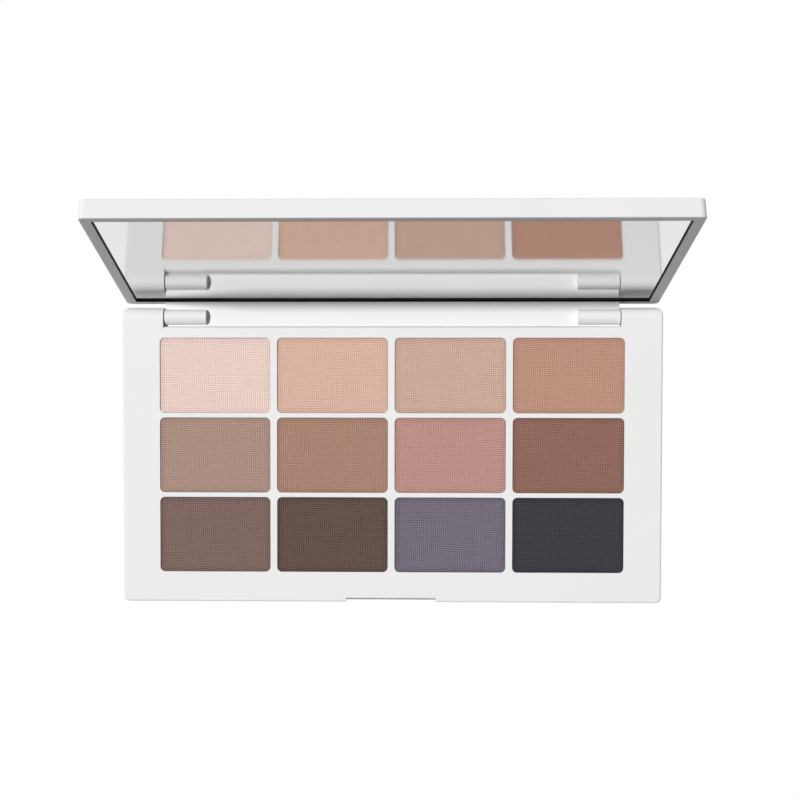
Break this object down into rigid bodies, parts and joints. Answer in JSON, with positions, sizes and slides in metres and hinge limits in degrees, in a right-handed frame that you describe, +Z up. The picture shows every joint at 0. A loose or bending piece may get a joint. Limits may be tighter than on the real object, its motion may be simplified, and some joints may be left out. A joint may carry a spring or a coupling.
{
  "type": "eyeshadow palette",
  "caption": "Slim rectangular eyeshadow palette: a white base with rows of pressed powder in metal pans, and a hinged lid with a mirror inside.",
  "frame": {"origin": "centre of the base's underside", "axes": "+X to the user's right, +Y to the back where the hinge is, +Z up; the lid stands open"},
  "size_m": [0.148, 0.1047, 0.0824],
  "materials": {
    "white_plastic": "satin",
    "tinplate": "satin",
    "steel": "polished",
    "magnet_nickel": "polished",
    "mirror_glass": "polished",
    "foam_tape": "matte",
    "powder_pale_pink": "matte",
    "powder_peach": "matte",
    "powder_sand": "matte",
    "powder_terracotta": "matte",
    "powder_taupe": "matte",
    "powder_tan": "matte",
    "powder_rose": "matte",
    "powder_brick": "matte",
    "powder_mauve_brown": "matte",
    "powder_dark_brown": "matte",
    "powder_slate_violet": "matte",
    "powder_blue_black": "matte"
  },
  "bodies": {
    "base": {"base_housing": "white_plastic", "bottom_cover": "white_plastic", "pan_back_1": "tinplate", "pan_back_2": "tinplate", "pan_back_3": "tinplate", "pan_back_4": "tinplate", "pan_middle_1": "tinplate", "pan_middle_2": "tinplate", "pan_middle_3": "tinplate", "pan_middle_4": "tinplate", "pan_front_1": "tinplate", "pan_front_2": "tinplate", "pan_front_3": "tinplate", "pan_front_4": "tinplate", "powder_back_1": "powder_pale_pink", "powder_back_2": "powder_peach", "powder_back_3": "powder_sand", "powder_back_4": "powder_terracotta", "powder_middle_1": "powder_taupe", "powder_middle_2": "powder_tan", "powder_middle_3": "powder_rose", "powder_middle_4": "powder_brick", "powder_front_1": "powder_mauve_brown", "powder_front_2": "powder_dark_brown", "powder_front_3": "powder_slate_violet", "powder_front_4": "powder_blue_black", "hinge_pin_left": "steel", "base_magnet_left": "magnet_nickel", "hinge_pin_right": "steel", "base_magnet_right": "magnet_nickel"},
    "lid": {"lid_shell": "white_plastic", "mirror": "mirror_glass", "mirror_adhesive": "foam_tape", "lid_magnet_left": "magnet_nickel", "lid_magnet_right": "magnet_nickel"}
  },
  "joints": [
    {"name": "lid_hinge", "type": "hinge", "parent": "base", "child": "lid", "pos_m": [0, 0.0385, 0.0061], "axis": [-1, 0, 0], "range_deg": [-102.7, 0]}
  ]
}
